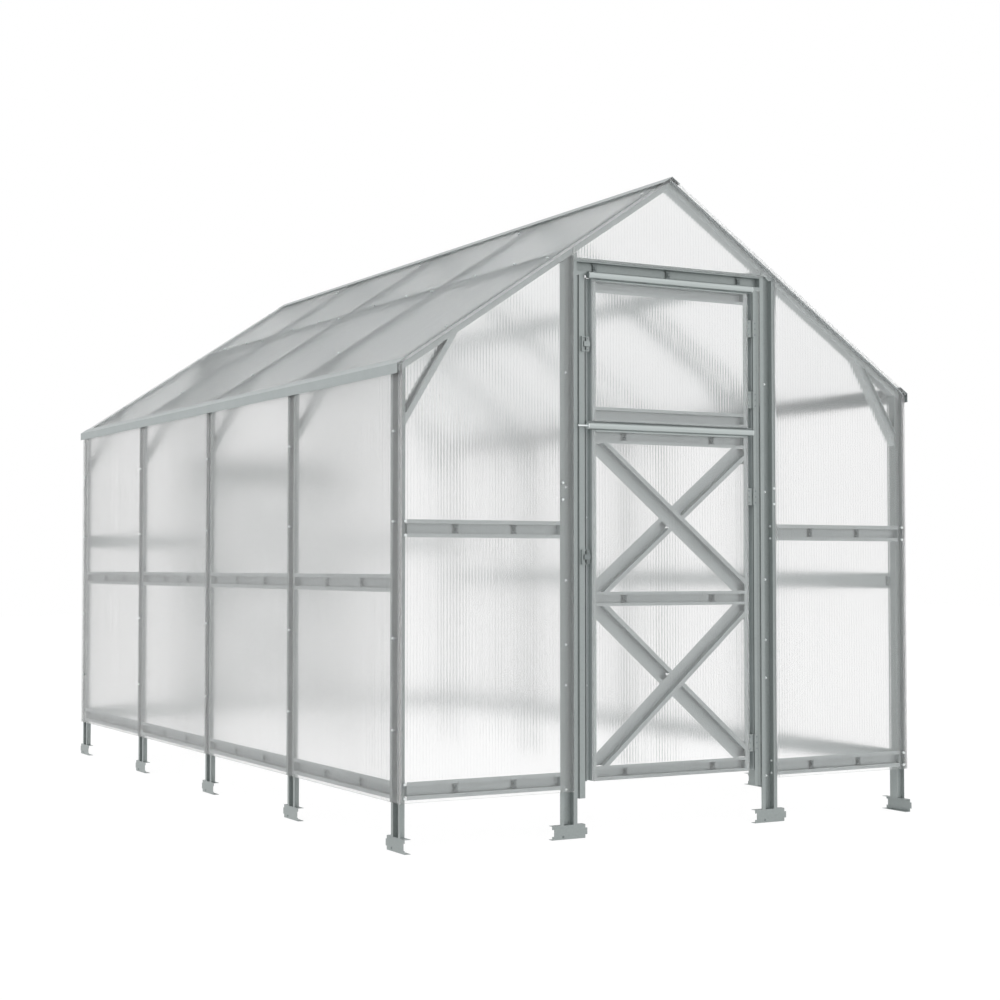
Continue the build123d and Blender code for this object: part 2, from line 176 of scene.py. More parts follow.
@dataclass(frozen=True)
class ZincCoatedSteel(Finish):
    """Cold rolled strip, hot dipped in zinc and left bare: a satin grey with a faint spangle."""

    name: str = "zinc_coated_steel"
    tone: str = "#A2A9A8"
    dull_tone: str = "#949B9A"
    roughness: float = 0.42
    metallic: float = 0.45
    roughness_spread: float = 0.06
    spangle_mm: float = 9.0
    cloud_mm: float = 90.0
    drawing_mm: float = 0.8
    bump: float = 0.05

    def surface(self, tree: Tree, place: Socket, across: str) -> bpy.types.Node:
        """Add the nodes of the bare zinc."""
        # Zinc crystals freeze in patches that each send back a little more or less light
        crystals = add_node(tree, "ShaderNodeTexVoronoi", {
            "Vector": place, "Scale": 1 / (self.spangle_mm * MM)})
        cloud = add_node(tree, "ShaderNodeTexNoise", {
            "Vector": place, "Scale": 1 / (self.cloud_mm * MM), "Detail": 3.0})
        blend = add_node(tree, "ShaderNodeMath", {0: crystals.outputs["Distance"], 1: cloud.outputs["Fac"]},
                         operation="MULTIPLY")
        colour = add_node(tree, "ShaderNodeMix", {"Factor": blend.outputs[0], 6: linear(self.tone),
                                                  7: linear(self.dull_tone)}, data_type="RGBA")
        rough = add_node(tree, "ShaderNodeMapRange", {
            "Value": cloud.outputs["Fac"], "To Min": self.roughness - self.roughness_spread,
            "To Max": self.roughness + self.roughness_spread})
        grain = add_node(tree, "ShaderNodeTexNoise", {"Vector": place, "Scale": 1 / (self.drawing_mm * MM)})
        bump = add_node(tree, "ShaderNodeBump", {"Height": grain.outputs["Fac"], "Strength": self.bump,
                                                 "Distance": GRAIN_DEPTH})
        return add_node(tree, "ShaderNodeBsdfPrincipled", {
            "Base Color": colour.outputs[2], "Metallic": self.metallic, "Roughness": rough.outputs[0],
            "Normal": bump.outputs[0]})


@dataclass(frozen=True)
class TwinWallSkin(Finish):
    """Extruded clear polycarbonate: the skins of a twin wall sheet, with the faint waves of extrusion."""

    name: str = "twin_wall_skin"
    tone: str = "#FFFFFF"
    edge_tone: str = "#7C8080"
    edge_power: float = 4.0
    roughness: float = 0.22
    ior: float = 1.2
    clear: float = 0.94
    fillet_mm: float = 0.5
    fillet_power: float = 0.35
    draw_mm: float = 6.0
    draw_length_mm: float = 5000.0
    draw_wave_mm: float = 0.3

    def surface(self, tree: Tree, place: Socket, across: str) -> bpy.types.Node:
        """Add the nodes of the skins."""
        # Extrusion leaves shallow waves along the flutes, so far things spread sideways and near ones don't
        fine, long = 1 / (self.draw_mm * MM), 1 / (self.draw_length_mm * MM)
        stretch = (fine, long, long) if across == "X" else (long, fine, long)
        drawn = add_node(tree, "ShaderNodeVectorMath", {0: place, 1: stretch}, operation="MULTIPLY")
        waves = add_node(tree, "ShaderNodeTexNoise", {
            "Vector": drawn.outputs[0], "Scale": 1.0, "Detail": 1.0})
        drawn_bump = add_node(tree, "ShaderNodeBump", {
            "Height": waves.outputs["Fac"], "Strength": 1.0, "Distance": self.draw_wave_mm * MM})
        # Each skin is nearly flat over a flute and thickens into the ribs on both sides of it
        flutes = add_node(tree, "ShaderNodeTexWave", {
            "Vector": place, "Scale": flute_scale(), "Distortion": 0.0},
            wave_type="BANDS", bands_direction=across, wave_profile="SIN")
        fillets = add_node(tree, "ShaderNodeMath", {0: flutes.outputs["Fac"], 1: self.fillet_power},
                           operation="POWER")
        bump = add_node(tree, "ShaderNodeBump", {
            "Height": fillets.outputs[0], "Strength": 1.0, "Distance": self.fillet_mm * MM,
            "Normal": drawn_bump.outputs[0]})
        facing = add_node(tree, "ShaderNodeLayerWeight", {"Blend": 0.5})
        grazing = add_node(tree, "ShaderNodeMath", {0: facing.outputs["Facing"], 1: self.edge_power},
                           operation="POWER")
        tint = add_node(tree, "ShaderNodeMix", {"Factor": grazing.outputs[0], 6: linear(self.tone),
                                                7: linear(self.edge_tone)}, data_type="RGBA")
        return add_node(tree, "ShaderNodeBsdfPrincipled", {
            "Base Color": tint.outputs[2], "Roughness": self.roughness, "IOR": self.ior,
            "Transmission Weight": self.clear, "Normal": bump.outputs[0]})


@dataclass(frozen=True)
class TwinWallEdge(Finish):
    """The sawn edges of a twin wall sheet, where its ribs and the mouths of its flutes alternate."""

    name: str = "twin_wall_edge"
    tone: str = "#FFFFFF"
    mouth_shade_tone: str = "#E3E7E7"
    roughness: float = 0.3
    clear: float = 0.85
    ior: float = 1.2
    saw_mm: float = 1.5
    bump: float = 0.2

    def surface(self, tree: Tree, place: Socket, across: str) -> bpy.types.Node:
        """Add the nodes of the sawn edges."""
        flutes = add_node(tree, "ShaderNodeTexWave", {
            "Vector": place, "Scale": flute_scale(), "Distortion": 0.0},
            wave_type="BANDS", bands_direction=across, wave_profile="SIN")
        # The mouths of the flutes are tinted darker than the ribs: painted shade inside the open flutes.
        colour = add_node(tree, "ShaderNodeMix", {"Factor": flutes.outputs["Fac"], 6: linear(self.tone),
                                                  7: linear(self.mouth_shade_tone)}, data_type="RGBA")
        saw = add_node(tree, "ShaderNodeTexNoise", {"Vector": place, "Scale": 1 / (self.saw_mm * MM)})
        bump = add_node(tree, "ShaderNodeBump", {"Height": saw.outputs["Fac"], "Strength": self.bump,
                                                 "Distance": GRAIN_DEPTH})
        return add_node(tree, "ShaderNodeBsdfPrincipled", {
            "Base Color": colour.outputs[2], "Roughness": self.roughness, "IOR": self.ior,
            "Transmission Weight": self.clear, "Normal": bump.outputs[0]})


@dataclass(frozen=True)
class TwinWallRib(Finish):
    """The ribs between the skins: thin polycarbonate that takes a little of the light which crosses it."""

    name: str = "twin_wall_rib"
    tone: str = "#D2D6D6"
    clear_tone: str = "#E2E6E6"
    roughness: float = 0.25
    alpha: float = 0.04
    drift_mm: float = 180.0
    drift_depth_mm: float = 2.0
    bump: float = 0.3

    def surface(self, tree: Tree, place: Socket, across: str) -> bpy.types.Node:
        """Add the nodes of the ribs."""
        # A rib's thickness wanders a little along its length, and so does what it holds back
        drift = add_node(tree, "ShaderNodeTexNoise", {
            "Vector": place, "Scale": 1 / (self.drift_mm * MM), "Detail": 2.0})
        colour = add_node(tree, "ShaderNodeMix", {"Factor": drift.outputs["Fac"], 6: linear(self.tone),
                                                  7: linear(self.clear_tone)}, data_type="RGBA")
        bump = add_node(tree, "ShaderNodeBump", {"Height": drift.outputs["Fac"], "Strength": self.bump,
                                                 "Distance": self.drift_depth_mm * MM})
        return add_node(tree, "ShaderNodeBsdfPrincipled", {
            "Base Color": colour.outputs[2], "Roughness": self.roughness, "Alpha": self.alpha,
            "Normal": bump.outputs[0]})


@dataclass(frozen=True)
class DrawnAluminium(Finish):
    """Drawn and etched aluminium tube: pale and even, with lines along its length."""

    name: str = "drawn_aluminium"
    tone: str = "#C6CDCC"
    dull_tone: str = "#AFB6B5"
    roughness: float = 0.34
    roughness_spread: float = 0.05
    line_mm: float = 1.2
    line_length_mm: float = 240.0
    bump: float = 0.12

    def surface(self, tree: Tree, place: Socket, across: str) -> bpy.types.Node:
        """Add the nodes of the drawn tube."""
        # The die leaves fine lines along the tube, which runs across the gable
        fine, long = 1 / (self.line_mm * MM), 1 / (self.line_length_mm * MM)
        drawn = add_node(tree, "ShaderNodeVectorMath", {0: place, 1: (long, fine, fine)},
                         operation="MULTIPLY")
        lines = add_node(tree, "ShaderNodeTexNoise", {
            "Vector": drawn.outputs[0], "Scale": 1.0, "Detail": 2.0})
        colour = add_node(tree, "ShaderNodeMix", {"Factor": lines.outputs["Fac"], 6: linear(self.tone),
                                                  7: linear(self.dull_tone)}, data_type="RGBA")
        rough = add_node(tree, "ShaderNodeMapRange", {
            "Value": lines.outputs["Fac"], "To Min": self.roughness - self.roughness_spread,
            "To Max": self.roughness + self.roughness_spread})
        bump = add_node(tree, "ShaderNodeBump", {"Height": lines.outputs["Fac"], "Strength": self.bump,
                                                 "Distance": GRAIN_DEPTH})
        return add_node(tree, "ShaderNodeBsdfPrincipled", {
            "Base Color": colour.outputs[2], "Metallic": 1.0, "Roughness": rough.outputs[0],
            "Normal": bump.outputs[0]})


@dataclass(frozen=True)
class SealRubber(Finish):
    """Weatherproof rubber of washers and seals: moulded, grey, matt and slightly grained."""

    name: str = "seal_rubber"
    tone: str = "#8D9393"
    worn_tone: str = "#9CA2A2"
    roughness: float = 0.75
    grain_mm: float = 1.0
    bump: float = 0.3

    def surface(self, tree: Tree, place: Socket, across: str) -> bpy.types.Node:
        """Add the nodes of the rubber."""
        grain = add_node(tree, "ShaderNodeTexNoise", {"Vector": place, "Scale": 1 / (self.grain_mm * MM)})
        colour = add_node(tree, "ShaderNodeMix", {"Factor": grain.outputs["Fac"], 6: linear(self.tone),
                                                  7: linear(self.worn_tone)}, data_type="RGBA")
        bump = add_node(tree, "ShaderNodeBump", {"Height": grain.outputs["Fac"], "Strength": self.bump,
                                                 "Distance": GRAIN_DEPTH})
        return add_node(tree, "ShaderNodeBsdfPrincipled", {
            "Base Color": colour.outputs[2], "Roughness": self.roughness, "Normal": bump.outputs[0]})


@dataclass
class Studio:
    """The camera, the soft light and the white floor."""

    camera_at: tuple[float, float, float] = (-4.149, -8.085, 1.053)
    look_right_deg: float = 29.066
    look_up_deg: float = 2.0935
    focal_px: float = 1818.0
    frame_px: float = 1000.0
    sensor_mm: float = 36.0
    sight: float = 200.0
    dome: float = 1.0
    white: str = "#FFFFFF"
    floor_size: float = 60.0
    floor_drop_mm: float = 1.0
    floor_tone: str = "#F2F2F2"
    floor_glow: float = 1.06
    floor_glow_share: float = 0.88
    key_at: tuple[float, float, float] = (3.5, -9.0, 6.5)
    key_aim: tuple[float, float, float] = (0.0, 0.0, 1.0)
    key_size: float = 8.0
    key_energy: float = 30.0

    def build(self) -> None:
        """Make the whole studio."""
        self.camera()
        self.world()
        self.floor()
        self.key_light()

    def camera(self) -> None:
        """Set the camera, low in front and to the left."""
        data = bpy.data.cameras.new("camera")
        data.sensor_width = self.sensor_mm
        data.lens = self.focal_px / self.frame_px * self.sensor_mm
        data.clip_end = self.sight
        camera = bpy.data.objects.new("camera", data)
        camera.location = self.camera_at
        camera.rotation_euler = (math.radians(90 + self.look_up_deg), 0.0, -math.radians(self.look_right_deg))
        bpy.context.scene.collection.objects.link(camera)
        bpy.context.scene.camera = camera

    def world(self) -> None:
        """Make a plain white surround."""
        world = bpy.data.worlds.new("studio")
        bpy.context.scene.world = world
        world.use_nodes = True
        tree = world.node_tree
        tree.nodes.clear()
        lit = add_node(tree, "ShaderNodeBackground", {"Color": linear(self.white), "Strength": self.dome})
        add_node(tree, "ShaderNodeOutputWorld", {"Surface": lit.outputs[0]})

    def floor(self) -> None:
        """Lay the white floor just under the feet."""
        mesh = bpy.data.meshes.new("floor")
        half = self.floor_size / 2
        z = -self.floor_drop_mm * MM
        corners = [(-half, -half, z), (half, -half, z), (half, half, z), (-half, half, z)]
        mesh.from_pydata(corners, [], [(0, 1, 2, 3)])
        material, tree = new_material("studio_floor")
        # Where the camera sees the floor, also in a mirror or through a sheet, it glows white
        path = add_node(tree, "ShaderNodeLightPath")
        seen = add_node(tree, "ShaderNodeMath", {0: path.outputs["Is Camera Ray"],
                                                 1: path.outputs["Is Glossy Ray"]}, operation="MAXIMUM")
        shown = add_node(tree, "ShaderNodeMath", {0: seen.outputs[0],
                                                  1: path.outputs["Is Transmission Ray"]},
                         operation="MAXIMUM")
        share = add_node(tree, "ShaderNodeMath", {0: shown.outputs[0], 1: self.floor_glow_share},
                         operation="MULTIPLY")
        paint = add_node(tree, "ShaderNodeBsdfDiffuse", {"Color": linear(self.floor_tone)})
        glow = add_node(tree, "ShaderNodeEmission", {"Color": linear(self.white),
                                                     "Strength": self.floor_glow})
        mix = add_node(tree, "ShaderNodeMixShader", {0: share.outputs[0], 1: paint.outputs[0],
                                                     2: glow.outputs[0]})
        add_node(tree, "ShaderNodeOutputMaterial", {"Surface": mix.outputs[0]})
        mesh.materials.append(material)
        floor = bpy.data.objects.new("floor", mesh)
        bpy.context.scene.collection.objects.link(floor)

    def key_light(self) -> None:
        """Hang one large soft lamp in front, to the right and above."""
        data = bpy.data.lights.new("key", "AREA")
        data.shape = "SQUARE"
        data.size = self.key_size
        data.energy = self.key_energy
        lamp = bpy.data.objects.new("key", data)
        lamp.location = self.key_at
        lamp.rotation_euler = (Vector(self.key_aim) - lamp.location).to_track_quat("-Z", "Y").to_euler()
        bpy.context.scene.collection.objects.link(lamp)


@dataclass(frozen=True)
class Lie:
    """How a sheet lies: the directions across its flutes, along them, and out of the house."""

    across: Vector
    along: Vector
    out: Vector


@dataclass
class TwinWallSheets:
    """The twin wall sheets: the CAD solid as skins, with the ribs inside as thin planes.

    The roof's sheets get no ribs, because their finish would blur them away.
    """

    skin_mm: float = 0.7
    seat_mm: float = 0.3
    weld_mm: float = 0.01
    flat_angle: float = 0.01
    cut_reach: float = 1e-7
    broad: float = 0.9
    side_walls: tuple[str, ...] = ("left_wall_sheets", "right_wall_sheets")
    roofs: tuple[str, ...] = ("left_roof_sheets", "right_roof_sheets")
    gables: tuple[str, ...] = ("front_left_sheet", "front_right_sheet", "front_crown_sheet",
                               "back_left_sheet", "back_right_sheet", "back_crown_sheet",
                               "front_window_sheet", "back_leaf_sheets", "front_door_sheet")

    def lie(self, node: str, centre: Vector) -> Lie:
        """Tell how a sheet lies.

        Args:
            node: The name of its CAD node.
            centre: Its middle.

        Returns:
            Its directions.
        """
        if node in self.gables:
            return Lie(X_AXIS, Z_AXIS, Vector((0, math.copysign(1, centre.y), 0)))
        side = math.copysign(1, centre.x)
        if node in self.side_walls:
            return Lie(Y_AXIS, Z_AXIS, Vector((side, 0, 0)))
        return Lie(Y_AXIS, Vector((-side, 0, SLOPE)).normalized(),
                   Vector((side * SLOPE, 0, 1)).normalized())

    def solids(self, node: bpy.types.Object) -> list[Mesh]:
        """Split a CAD node into its separate solids, each with flat faces that aren't cut up.

        Args:
            node: The CAD node.

        Returns:
            One mesh for each solid.
        """
        whole = bmesh.new()
        whole.from_mesh(node.data)
        bmesh.ops.remove_doubles(whole, verts=whole.verts, dist=self.weld_mm * MM)
        left = set(whole.verts)
        found = []
        while left:
            stack, group = [left.pop()], []
            while stack:
                vert = stack.pop()
                group.append(vert.co.copy())
                near = {edge.other_vert(vert) for edge in vert.link_edges} & left
                left -= near
                stack += near
            solid = bmesh.new()
            for corner in group:
                solid.verts.new(corner)
            bmesh.ops.convex_hull(solid, input=solid.verts)
            bmesh.ops.dissolve_limit(solid, angle_limit=self.flat_angle, verts=solid.verts,
                                      edges=solid.edges)
            found.append(solid)
        whole.free()
        return found

    def seat(self, solid: Mesh, lie: Lie) -> None:
        """Lift a sheet's inner face off the frame by the thickness of the tape between them.

        Args:
            solid: The sheet.
            lie: How it lies.
        """
        inner = min(vert.co.dot(lie.out) for vert in solid.verts)
        for vert in solid.verts:
            if vert.co.dot(lie.out) < inner + self.seat_mm * MM:
                vert.co += lie.out * self.seat_mm * MM

    def add_ribs(self, ribs: Mesh, solid: Mesh, lie: Lie) -> None:
        """Add the ribs of one sheet, cut to its outline.

        Args:
            ribs: The mesh that gets them.
            solid: The sheet.
            lie: How it lies.
        """
        reach = [vert.co.dot(lie.across) for vert in solid.verts]
        pitch, skin = FLUTE_MM * MM, self.skin_mm * MM
        low, high = min(reach) + skin, max(reach) - skin
        for i in range(math.ceil(low / pitch), math.floor(high / pitch) + 1):
            cut = solid.copy()
            cut_at = lie.across * (i * pitch)
            made = bmesh.ops.bisect_plane(cut, geom=[*cut.verts, *cut.edges, *cut.faces],
                                          dist=self.cut_reach, plane_co=cut_at,
                                          plane_no=lie.across)["geom_cut"]
            corners = [v.co.copy() for v in made if isinstance(v, bmesh.types.BMVert)]
            cut.free()
            if len(corners) < 3:
                continue
            centre = sum(corners, Vector()) / len(corners)
            corners.sort(key=lambda c: math.atan2((c - centre).dot(lie.out),
                                                  (c - centre).dot(lie.along)))
            for corner in corners:
                for way in (lie.out, lie.along):
                    corner -= way * math.copysign(skin, (corner - centre).dot(way))
            ribs.faces.new([ribs.verts.new(corner) for corner in corners])

    def part_edges(self, solid: Mesh, lie: Lie) -> None:
        """Give the narrow faces round a sheet the second finish.

        Args:
            solid: The sheet.
            lie: How it lies.
        """
        for face in solid.faces:
            face.normal_update()
            face.material_index = 0 if abs(face.normal.dot(lie.out)) > self.broad else 1

    def build(self, nodes: Nodes, skins: dict[str, Material],
              edges: dict[str, Material], rib: Material) -> None:
        """Make every sheet.

        Args:
            nodes: The CAD nodes by name.
            skins: The skins' finishes for flutes across X and across Y, and for the roof.
            edges: The edges' finishes, for the same three.
            rib: The ribs' finish.
        """
        for name in (*self.side_walls, *self.roofs, *self.gables):
            kind = "roof" if name in self.roofs else "y" if name in self.side_walls else "x"
            shell, ribs = bmesh.new(), bmesh.new()
            for solid in self.solids(nodes[name]):
                corners = [vert.co for vert in solid.verts]
                lie = self.lie(name, sum(corners, Vector()) / len(corners))
                self.seat(solid, lie)
                if kind != "roof":
                    self.add_ribs(ribs, solid, lie)
                self.part_edges(solid, lie)
                part = bpy.data.meshes.new("part")
                solid.to_mesh(part)
                shell.from_mesh(part)
                solid.free()
            body = Body.DOOR if name == "front_door_sheet" else Body.HOUSE
            made = [piece_from(shell, f"{name}_skins", skins[kind], edges[kind])]
            if kind != "roof":
                made.append(piece_from(ribs, f"{name}_ribs", rib))
            for piece in made:
                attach(piece, body.value)
                LOG.info("%s: %d faces", piece.name, len(piece.data.polygons))
            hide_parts(name)


@dataclass(frozen=True)
class Spot:
    """Where a fixing sits: its foot in millimetres, the way it points, and a way along its member."""

    foot: Vector
    out: Vector
    along: Vector

    def place(self, along: float, across: float, out: float) -> Vector:
        """Give the point that lies so many millimetres along the member, across it and out of it."""
        side = self.out.cross(self.along)
        return (self.foot + self.along * along + side * across + self.out * out) * MM

    def turned(self) -> "Spot":
        """Give the same spot on the other gable, half a turn round the house."""
        return Spot(*(Vector((-v.x, -v.y, v.z)) for v in (self.foot, self.out, self.along)))


def add_turned(mesh: Mesh, spot: Spot, profile: Points,
               sides: int = 16) -> None:
    """Add a turned or many sided form, closed at both ends.

    Args:
        mesh: The mesh that gets it.
        spot: Where it stands.
        profile: The radius and height of each ring in millimetres, from the foot up.
        sides: The number of its sides.
    """
    turns = [2 * math.pi * i / sides for i in range(sides)]
    rings = [[mesh.verts.new(spot.place(radius * math.cos(t), radius * math.sin(t), height)) for t in turns]
             for radius, height in profile]
    for low, high in zip(rings, rings[1:]):
        for i in range(sides):
            j = (i + 1) % sides
            mesh.faces.new((low[i], low[j], high[j], high[i]))
    mesh.faces.new(rings[0][::-1])
    mesh.faces.new(rings[-1])


def add_folded(mesh: Mesh, spot: Spot, outline: Points, low: float,
               high: float) -> None:
    """Add a flat plate with the given outline.

    Args:
        mesh: The mesh that gets it.
        spot: Where it lies.
        outline: Its corners, in millimetres along and across the member.
        low: The height of its underside in millimetres.
        high: The height of its top in millimetres.
    """
    under = [mesh.verts.new(spot.place(a, c, low)) for a, c in outline]
    top = [mesh.verts.new(spot.place(a, c, high)) for a, c in outline]
    for i in range(len(outline)):
        j = (i + 1) % len(outline)
        mesh.faces.new((under[i], under[j], top[j], top[i]))
    mesh.faces.new(under[::-1])
    mesh.faces.new(top)


@dataclass(frozen=True)
class HexScrew:
    """Self drilling screw: a six sided head on a flange, a shank, and a rubber washer if wanted."""

    head_radius: float = 4.7
    head_height: float = 5.0
    flange_radius: float = 5.6
    washer_radius: float = 6.6
    washer_height: float = 1.7
    shank_radius: float = 2.7

    def add(self, mesh: Mesh, spot: Spot, lift: float, depth: float) -> None:
        """Add one screw.

        Args:
            mesh: The mesh that gets it.
            spot: Where it stands.
            lift: The height of its flange's underside.
            depth: How far its shank goes down.
        """
        r, f, top = self.head_radius, self.flange_radius, lift + self.head_height
        add_turned(mesh, spot, [(self.shank_radius * 0.6, -depth), (self.shank_radius, -depth + 2),
                                (self.shank_radius, lift)], 10)
        add_turned(mesh, spot, [(f, lift), (f, lift + 0.7), (f - 0.5, lift + 1.2), (r - 0.3, lift + 1.4)])
        add_turned(mesh, spot, [(r, lift + 1.0), (r, top - 0.8), (r - 0.7, top)], 6)

    def add_washer(self, mesh: Mesh, spot: Spot) -> None:
        """Add its rubber washer, squeezed out a little at the rim."""
        r, h = self.washer_radius, self.washer_height
        add_turned(mesh, spot, [(r - 0.5, 0.05), (r, 0.4), (r, h - 0.7), (r - 0.6, h - 0.1), (r - 2, h)], 20)


@dataclass(frozen=True)
class SocketScrew:
    """Low round headed screw with a sunk six sided socket."""

    radius: float = 3.4
    height: float = 1.1

    def add(self, mesh: Mesh, spot: Spot) -> None:
        """Add one screw."""
        r, h = self.radius, self.height
        add_turned(mesh, spot, [(r, 0.0), (r, 0.3 * h), (0.86 * r, 0.8 * h), (0.6 * r, h), (0.45 * r, h),
                                (0.4 * r, 0.25 * h)], 18)


@dataclass(frozen=True)
class ChannelSaddle:
    """Waisted strip folded into the channel of a rail, with a bolt through its middle."""

    half_length: float = 14.0
    half_waist: float = 6.0
    sunk: float = 18.0
    floor: float = 24.6
    strip: float = 1.6
    washer: Profile = ((9.0, 0.0), (9.0, 1.2), (8.0, 1.6))
    head: Profile = ((6.4, 1.6), (6.4, 5.0), (5.6, 6.0))

    def add(self, mesh: Mesh, spot: Spot, half_width: float) -> None:
        """Add one saddle.

        Args:
            mesh: The mesh that gets it.
            spot: The middle of the member, at the height of its flanges.
            half_width: Half the width inside the channel.
        """
        steps = [-1 + i / 4 for i in range(9)]
        edge = [(self.half_waist + (self.half_length - self.half_waist) * s * s, s * half_width)
                for s in steps]
        outline = edge + [(-a, c) for a, c in reversed(edge)]
        add_folded(mesh, spot, outline, -self.sunk - self.strip, -self.sunk)
        for side in (-1, 1):
            inner, outer = side * (half_width - self.strip), side * half_width
            reach = self.half_length
            leg = [(-reach, inner), (reach, inner), (reach, outer), (-reach, outer)]
            add_folded(mesh, spot, leg, -self.floor, -self.sunk - self.strip)
        bolt = Spot(spot.place(0, 0, -self.sunk) / MM, spot.out, spot.along)
        add_turned(mesh, bolt, self.washer, 20)
        add_turned(mesh, bolt, self.head, 6)


@dataclass
class DoorwayJambs:
    """The jambs of both gables, with a groove pressed in each where its outer wing meets the post."""

    outer: float = 445.0
    near: float = 2039.0
    floor: float = 2032.0
    gauge: float = 1.2
    hinge_edge: float = 427.0
    latch_edge: float = 436.0
    slack: float = 0.5
    wing: float = 1.5

    def build(self, nodes: Nodes, steel: Material) -> None:
        """Make the jambs, in the places of the two nodes.

        Args:
            nodes: The CAD nodes.
            steel: The finish.
        """
        for name, way in (("front_jambs", 1), ("back_jambs", -1)):
            mesh = bmesh.new()
            mesh.from_mesh(nodes[name].data)
            mesh.transform(nodes[name].matrix_world)
            for vertex in mesh.verts:
                x = way * vertex.co.x
                on_wing = -way * vertex.co.y > (self.near - self.wing) * MM
                if on_wing and abs(abs(x) - self.outer * MM) < self.slack * MM:
                    vertex.co.x = way * MM * (self.hinge_edge if x > 0 else -self.latch_edge)
            self.add_grooves(mesh, way < 0)
            piece = piece_from(mesh, f"{name}_folded", steel)
            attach(piece, Body.HOUSE.value)
            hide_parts(name)
            LOG.info("%s: %d faces", piece.name, len(piece.data.polygons))

    def add_grooves(self, mesh: Mesh, turned: bool) -> None:
        """Add the side and floor of each groove.

        Args:
            mesh: The jambs of one gable.
            turned: True for the back gable.
        """
        heights = [vertex.co.z / MM for vertex in mesh.verts]
        spot = Spot(Vector(), Z_AXIS, Vector((-1, 0, 0)))
        spot = spot.turned() if turned else spot
        for edge, side in ((self.hinge_edge, -1), (self.latch_edge, 1)):
            inner, top = edge - self.gauge, self.floor + self.gauge
            section = [(edge, self.near), (inner, self.near), (inner, self.floor), (self.outer, self.floor),
                       (self.outer, top), (edge, top)]
            add_folded(mesh, spot, [(side * x, y) for x, y in section], min(heights), max(heights))


@dataclass
class LeafDetails:
    """The lip seal under the window leaf, and the tabs and laps that close the joints of the door braces."""

    half_width: float = 402.0
    section: Profile = (
        (1623.8, 2037), (1623.8, 2018), (1618, 2018), (1612, 2024), (1599, 2026), (1597, 2028),
        (1599, 2030), (1612, 2033), (1618, 2037))
    tab_out: float = 376.0
    tab_mid: float = 352.0
    tab_in: float = 322.0
    tab_floor: float = 2012.8
    tab_strip: float = 1.5
    fields: tuple[tuple[float, float, int], ...] = ((274.0, 897.3, -1), (953.3, 1538.0, 1))
    lap: tuple[float, float] = (62.0, 19.0)
    tab_height: float = 62.0

    def seal(self) -> Mesh:
        """Build the seals of both gables."""
        mesh = bmesh.new()
        spot = Spot(Vector(), X_AXIS, Z_AXIS)
        add_folded(mesh, spot, self.section, -self.half_width, self.half_width)
        add_folded(mesh, spot.turned(), self.section, -self.half_width, self.half_width)
        return mesh

    def tabs(self, turned: bool) -> Mesh:
        """Build the tabs and laps of one door.

        Args:
            turned: True for the back door.

        Returns:
            The mesh under construction.
        """
        mesh = bmesh.new()
        spot = Spot(Vector((0, -self.tab_floor, 0)), Vector((0, -1, 0)), X_AXIS)
        spot = spot.turned() if turned else spot
        for low, high, rise in self.fields:
            along = Vector((2 * self.tab_out, rise * (high - low))).normalized() * self.lap[0]
            across = Vector((-along.y, along.x)).normalized() * self.lap[1]
            middle = Vector((0, (low + high) / 2))
            corners = (-along - across, along - across, along + across, -along + across)
            add_folded(mesh, spot, [tuple(middle + corner) for corner in corners], -self.tab_strip, 0.0)
            for side in (-1, 1):
                for level, way in ((low, 1), (high, -1)):
                    end = level + way * self.tab_height
                    outline = [(side * self.tab_out, level), (side * self.tab_out, end),
                               (side * self.tab_mid, end), (side * self.tab_in, level)]
                    add_folded(mesh, spot, outline, -self.tab_strip, 0.0)
        return mesh

    def build(self, steel: Material, rubber: Material) -> None:
        """Make the seals and the tabs.

        Args:
            steel: The finish of the tabs, the rails' lighter steel with painted light.
            rubber: The finish of the seals.
        """
        add_fittings({"window_lip_seals": (self.seal(), rubber),
                      "back_brace_tabs": (self.tabs(True), steel)}, Body.HOUSE)
        add_fittings({"door_brace_tabs": (self.tabs(False), steel)}, Body.DOOR)


